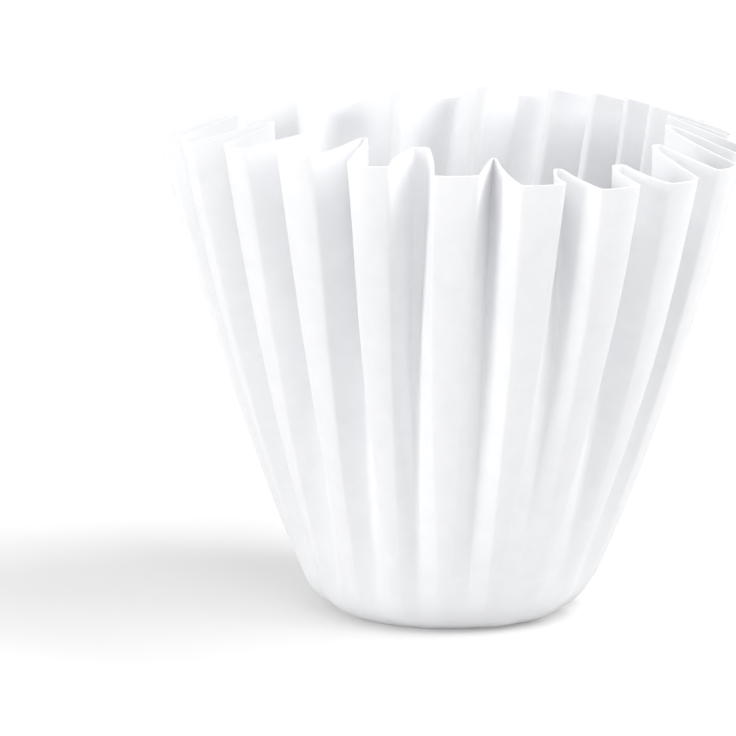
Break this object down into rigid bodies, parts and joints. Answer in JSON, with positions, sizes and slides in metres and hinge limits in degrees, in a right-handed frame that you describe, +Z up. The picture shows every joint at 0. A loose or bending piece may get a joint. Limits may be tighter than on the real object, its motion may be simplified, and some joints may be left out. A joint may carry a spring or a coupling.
{
  "type": "paper coffee filter",
  "caption": "Flat-bottomed basket coffee filter folded from one disc of white paper, with a pleated, flaring wall and a wavy open rim.",
  "frame": {"origin": "centre of the flat foot, on the table", "axes": "+Z up and out of the open mouth, -Y towards the viewer of the picture, +X to the right"},
  "size_m": [0.086, 0.0863, 0.0743],
  "materials": {
    "filter_paper": "matt"
  },
  "bodies": {
    "root": {"filter_paper": "filter_paper"}
  },
  "joints": []
}
